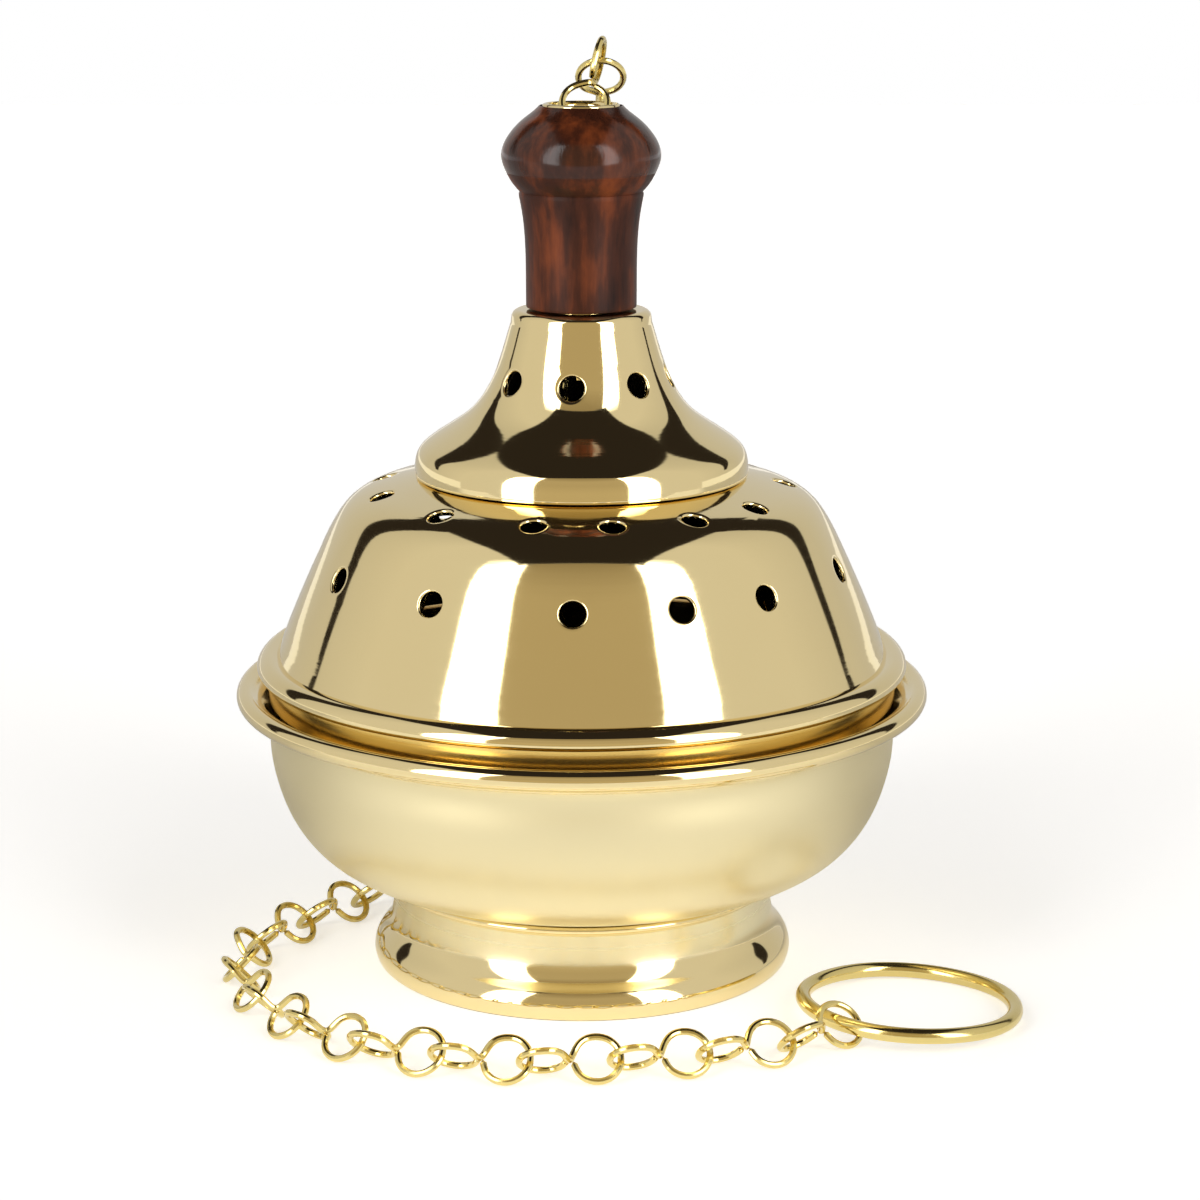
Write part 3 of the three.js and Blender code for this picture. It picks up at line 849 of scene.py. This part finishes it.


# %% [markdown]
# Where it is hot, nothing stays bright. Smoke browns the inner sides of lid and bowl, and their dark
# colour is also painted shade, which keeps the holes black; the pan's steel is blackened by the fire.
# Both are one noise between a dark and a less dark colour.

# %% Soot, painted shade and burnt metal
def burnt_and_shaded(name, size, dark, light, metallic, roughness):
    """Dark metal, for soot, fire and painted shade: the colour runs from dark to light with a noise of
    size to the metre.
    """
    material, tree, shader = nodes_of(name)
    place = node(tree, "ShaderNodeTexCoord").outputs["Object"]
    soot_and_shade_noise = node(tree, "ShaderNodeTexNoise", {"Vector": place, "Scale": size, "Detail": 5.0}).outputs[0]
    tree.links.new(colours_along(tree, soot_and_shade_noise, [(0, dark), (1, light)]), shader.inputs["Base Color"])
    shader.inputs["Metallic"].default_value = metallic
    shader.inputs["Roughness"].default_value = roughness
    return material


# the inner sides' soot, darkened further as painted shade that keeps the holes black
soot_and_shade = burnt_and_shaded("soot_and_shade_brass", 120.0, (0.012, 0.009, 0.006), (0.07, 0.05, 0.028), 0.7, 0.6)
steel = burnt_and_shaded("blackened_steel", 160.0, (0.02, 0.019, 0.018), (0.11, 0.1, 0.09), 1.0, 0.55)
print("burnt_and_shaded", soot_and_shade.name, steel.name)


# %% [markdown]
# The handle is a stained hardwood. Its fibres run along it, so fine noise is stretched along the
# axis for the streaks, and broader noise a little less for the patches where the stain went
# deeper. The grip has lost its shine to the hand, while the knob keeps more of its varnish.

# %% Wood
WOOD_STAIN = ((0.011, 0.004, 0.003), (0.055, 0.015, 0.007), (0.2, 0.046, 0.013))
STAIN_PLACES = (0.36, 0.5, 0.64)
FIBRES = {"along": 0.1, "scale": 420.0, "depth": 0.0002, "strength": 0.35}
PATCHES = {"along": 0.45, "scale": 120.0, "share": 0.6}


def stretched(tree, place, along):
    """The place with its height scaled down, which draws a noise out along the axis."""
    return node(tree, "ShaderNodeMapping", {"Vector": place, "Scale": (1, 1, along)}).outputs[0]


def dark_wood(name, roughness, specular, depth):
    """Stained hardwood: the stain's colour times depth, where streaks and patches add up."""
    material, tree, shader = nodes_of(name)
    place = node(tree, "ShaderNodeTexCoord").outputs["Object"]
    fibres = node(tree, "ShaderNodeTexNoise",
                  {"Vector": stretched(tree, place, FIBRES["along"]), "Scale": FIBRES["scale"],
                   "Detail": 6.0, "Roughness": 0.6}).outputs[0]
    patches = node(tree, "ShaderNodeTexNoise",
                   {"Vector": stretched(tree, place, PATCHES["along"]), "Scale": PATCHES["scale"],
                    "Detail": 4.0}).outputs[0]
    both = node(tree, "ShaderNodeMix", {"Factor": PATCHES["share"], "A": fibres, "B": patches},
                data_type="FLOAT").outputs["Result"]
    stops = [(at, tuple(c * depth for c in color)) for at, color in zip(STAIN_PLACES, WOOD_STAIN)]
    tree.links.new(colours_along(tree, both, stops), shader.inputs["Base Color"])
    worn = node(tree, "ShaderNodeMapRange", {"Value": fibres, "To Min": roughness * 0.7,
                                             "To Max": roughness * 1.3}).outputs[0]
    tree.links.new(worn, shader.inputs["Roughness"])
    shader.inputs["Specular IOR Level"].default_value = specular
    bump = node(tree, "ShaderNodeBump", {"Height": fibres, "Strength": FIBRES["strength"],
                                         "Distance": FIBRES["depth"]})
    tree.links.new(bump.outputs[0], shader.inputs["Normal"])
    return material


grip_wood = dark_wood("varnished_wood", 0.45, 0.15, 0.9)
knob_wood = dark_wood("polished_wood", 0.15, 0.33, 0.7)
print("woods", grip_wood.name, knob_wood.name)


# %% [markdown]
# A piece may have several materials, and each face says which is its own. The knob starts at a
# height, and the dark inner side, smoked and painted with shade, is where a face looks back to a
# point inside the shell.

# %% Finish the pieces
KNOB_FROM = 138.2
DARKENED_BELOW = 41          # height up to which the bowl's inner side is dark with soot and painted shade
LOOKS_BACK = -0.35         # cosine between a face and the way out, below which it is an inner one


def finish_piece(piece, *materials):
    """Gives a piece its materials, and all its faces the first."""
    piece.data.materials.clear()
    for material in materials:
        piece.data.materials.append(material)


def of_faces(mesh, what):
    """The middle ("center") or "normal" of each face, a row for each."""
    values = np.empty(3 * len(mesh.polygons))
    mesh.polygons.foreach_get(what, values)
    return values.reshape(-1, 3)


def second_material_on(piece, chosen):
    """Gives the chosen faces the piece's second material."""
    piece.data.polygons.foreach_set("material_index", chosen.astype(np.int32))


def darken_inner_faces(piece, centre, below=1000):
    """Gives the faces whose normal points towards centre, a point inside the shell, the dark inner
    material: soot and painted shade.
    """
    middle = of_faces(piece.data, "center")
    outward = unit(middle - mm(centre))
    inner = (outward * of_faces(piece.data, "normal")).sum(1) < LOOKS_BACK
    second_material_on(piece, inner & (middle[:, 2] < mm(below)))
    print(piece.name, int(inner.sum()), "inner faces")


finish_piece(foot, waist)
finish_piece(bowl, belly, soot_and_shade)
for piece in (dome, bell):
    finish_piece(piece, polished, soot_and_shade)
for piece in (tube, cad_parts["tube_washer"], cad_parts["tube_nut"]):
    finish_piece(piece, polished)
for piece in (seat_ring, bow):
    finish_piece(piece, deep_gold)
for piece in (*links, ring):
    finish_piece(piece, wire_brass)
finish_piece(pan, steel)
finish_piece(handle, grip_wood, knob_wood)
second_material_on(handle, of_faces(handle.data, "center")[:, 2] > mm(KNOB_FROM))
darken_inner_faces(bowl, (0, 0, 70), DARKENED_BELOW)
darken_inner_faces(dome, (0, 0, 55))
darken_inner_faces(bell, (0, 0, 88))


# %% [markdown]
# A mirror finish shows the room, so the room is half of the picture. It is a product table under
# a white tent: two tall soft boxes in front to the left and right, the tent's warm inside between
# them, pale walls at the sides, and a dark opening overhead that spreads behind. Directions up
# are read on a ceiling one unit above, where straight edges of the tent stay straight.

# %% Directions in the room
CEILING_FROM = 0.02        # least height of a direction that still meets the ceiling


def room_direction(tree):
    """Sideways and backward reach on a ceiling one unit up, the height, and the front's cosine.

    A direction (x, y, z) meets the ceiling at |x| / z and y / z.
    """
    way = node(tree, "ShaderNodeTexCoord").outputs["Generated"]
    axes = node(tree, "ShaderNodeSeparateXYZ", {0: way}).outputs
    flat = node(tree, "ShaderNodeCombineXYZ", {0: axes["X"], 1: axes["Y"]}).outputs[0]
    level = node(tree, "ShaderNodeVectorMath", {0: flat}, operation="LENGTH").outputs["Value"]
    up = math(tree, "MAXIMUM", axes["Z"], CEILING_FROM)
    side = math(tree, "DIVIDE", math(tree, "ABSOLUTE", axes["X"]), up)
    return side, math(tree, "DIVIDE", axes["Y"], up), axes["Z"], math(tree, "DIVIDE", axes["Y"], level)


def seen_in_metal(tree):
    """Two factors: one on rays that come from a mirror or through glass, one on the camera's own."""
    rays = node(tree, "ShaderNodeLightPath").outputs
    mirrored = math(tree, "MAXIMUM", rays["Is Glossy Ray"], rays["Is Transmission Ray"])
    return mirrored, rays["Is Camera Ray"]


# %% [markdown]
# The tent is built up in layers of colour over those directions: walls, the warm part in front,
# the two soft boxes, and the dark opening last. The camera itself sees plain white, and so does
# the metal where it looks back past the table.

# %% Room
WALLS = [(0.0, (0.73, 0.705, 0.67)), (0.5, (0.73, 0.705, 0.67)), (0.85, (0.60, 0.58, 0.55)),
         (1.0, (0.62, 0.61, 0.60))]                       # from the front round to the back
WARM = [(0.0, (0.56, 0.47, 0.31)), (0.3, (0.49, 0.41, 0.27)), (0.6, (0.50, 0.42, 0.28)),
        (0.83, (0.32, 0.26, 0.16))]                       # from the table up
PANEL_EDGES = (32.5, 55)                                  # degrees to either side of the front
PANEL_LIGHT = 5.0
PANEL_TOP = {"full": -0.75, "none": -0.45}                # where their light ends on the ceiling
PANEL_SOFT = 0.006
OPENING = {"side": 0.5, "front": -0.66, "back": 1.3, "soft": 0.015}
WINGS = {"slant": 0.45, "front": 0.35, "back": 0.95, "soft": 0.02, "from": 0.3, "to": 8,
         "fade": 0.1}                                     # behind, to either side of the opening
DARK = (0.025, 0.02, 0.017)
ALL_ROUND = -2                                            # below any cosine


def tent_colour(tree, side, back, height, ahead):
    """Colour of the tent in a direction: walls, warm front and the soft boxes' light over them."""
    inner, outer = -np.cos(np.radians(PANEL_EDGES))
    low = math(tree, "LESS_THAN", back, OPENING["front"])
    spread = node(tree, "ShaderNodeMapRange",
                  {"Value": ahead, "From Min": -1.0, "From Max": 1.0}).outputs[0]
    walls, warm = colours_along(tree, spread, WALLS), colours_along(tree, height, WARM)
    in_front = between(tree, ahead, ALL_ROUND, inner, PANEL_SOFT)
    tent = mixed(tree, math(tree, "MULTIPLY", in_front, low), walls, warm)
    panel = between(tree, ahead, inner, outer, PANEL_SOFT)
    top = node(tree, "ShaderNodeMapRange",
               {"Value": back, "From Min": PANEL_TOP["none"], "From Max": PANEL_TOP["full"]},
               interpolation_type="SMOOTHSTEP").outputs[0]
    return mixed(tree, math(tree, "MULTIPLY", panel, top), tent, (PANEL_LIGHT,) * 3)


def opening_shape(tree, side, back, height):
    """One inside the dark opening: a strip overhead, and wings that slant back from it."""
    strip = math(tree, "MULTIPLY",
                 between(tree, side, -OPENING["side"], OPENING["side"], OPENING["soft"]),
                 between(tree, back, OPENING["front"], OPENING["back"], OPENING["soft"]))
    slanted = math(tree, "SUBTRACT", back, math(tree, "MULTIPLY", side, WINGS["slant"]))
    wings = math(tree, "MULTIPLY",
                 between(tree, slanted, WINGS["front"], WINGS["back"], WINGS["soft"]),
                 between(tree, side, WINGS["from"], WINGS["to"], WINGS["fade"]))
    above = math(tree, "GREATER_THAN", height, 0)
    return math(tree, "MULTIPLY", math(tree, "MAXIMUM", strip, wings), above)


world = bpy.data.worlds.new("room")
bpy.context.scene.world = world
world.use_nodes = True
room_tree = world.node_tree
room_tree.nodes.clear()
side, back, height, ahead = room_direction(room_tree)
room_colour = mixed(room_tree, opening_shape(room_tree, side, back, height),
                    tent_colour(room_tree, side, back, height, ahead), DARK)
mirrored, by_camera = seen_in_metal(room_tree)
behind = math(room_tree, "MULTIPLY", math(room_tree, "LESS_THAN", height, 0),
              math(room_tree, "GREATER_THAN", ahead, 0))
white = math(room_tree, "MAXIMUM", by_camera, math(room_tree, "MULTIPLY", mirrored, behind))
background = node(room_tree, "ShaderNodeBackground",
                  {"Color": mixed(room_tree, white, room_colour, (1, 1, 1))})
output = node(room_tree, "ShaderNodeOutputWorld")
room_tree.links.new(background.outputs[0], output.inputs[0])
print("room of", len(room_tree.nodes), "nodes")

# %% [markdown]
# The table is white paper. Lit by the room alone it would come out a light grey, so for the camera,
# and in front and by the foot for the metal that mirrors it, it glows a little on top of that. The
# glow lifts the paper to the white of the background and leaves the shadow under the chain and foot.
# Close to the foot the metal sees more glow: painted light that fills the bowl's shadow in its
# reflection.

# %% Table
TABLE = {"left": -0.7, "right": 0.7, "front": -0.3, "back": 2.0}      # metres
PAPER = (0.8, 0.8, 0.8, 1)
TABLE_GLOW = 0.5             # seen by the camera
TABLE_MIRRORED = 0.38        # seen in the metal, in front of the foot
FOOT_SHADOW_FILL = 0.16         # painted light seen in the metal close to the foot, which fills the bowl's shadow there
IN_FRONT = {"From Min": 0.02, "From Max": -0.06}      # metres back, where that glow fades in
FOOT_FILL_REACH = {"From Min": 0.1, "From Max": 0.055}        # metres from the axis, where that painted light fades in

corners = [(TABLE[x], TABLE[y], 0) for x, y in (("left", "front"), ("right", "front"),
                                                ("right", "back"), ("left", "back"))]
table_mesh = bpy.data.meshes.new("table")
table_mesh.from_pydata(corners, [], [(0, 1, 2, 3)])
table = bpy.data.objects.new("table", table_mesh)
bpy.context.scene.collection.objects.link(table)
print("table", round(table.dimensions.x, 2), "m wide")

# %% Paper
paper, tree, shader = nodes_of("white_paper")
shader.inputs["Base Color"].default_value = PAPER
shader.inputs["Roughness"].default_value = 0.9
shader.inputs["Specular IOR Level"].default_value = 0.1
shader.inputs["Emission Color"].default_value = (1, 1, 1, 1)
round_axis, spot = spun_coordinates(tree)
mirrored, by_camera = seen_in_metal(tree)
radius = node(tree, "ShaderNodeSeparateXYZ", {0: round_axis}).outputs["X"]
back = node(tree, "ShaderNodeSeparateXYZ", {0: spot}).outputs["Y"]
in_front = node(tree, "ShaderNodeMapRange", {"Value": back, **IN_FRONT}).outputs[0]
# painted light close to the foot, seen only in the metal, which fills the bowl's shadow in the
# reflection
foot_fill_light = node(tree, "ShaderNodeMapRange", {"Value": radius, **FOOT_FILL_REACH}).outputs[0]
in_metal = math(tree, "ADD", math(tree, "MULTIPLY", in_front, TABLE_MIRRORED),
                math(tree, "MULTIPLY", foot_fill_light, FOOT_SHADOW_FILL))
glow = math(tree, "ADD", math(tree, "MULTIPLY", by_camera, TABLE_GLOW),
            math(tree, "MULTIPLY", mirrored, in_metal))
tree.links.new(glow, shader.inputs["Emission Strength"])
table_mesh.materials.append(paper)
bpy.context.scene.view_settings.view_transform = "Standard"
print("paper of", len(tree.nodes), "nodes")

# %% Sizes
print("sizes printed above")
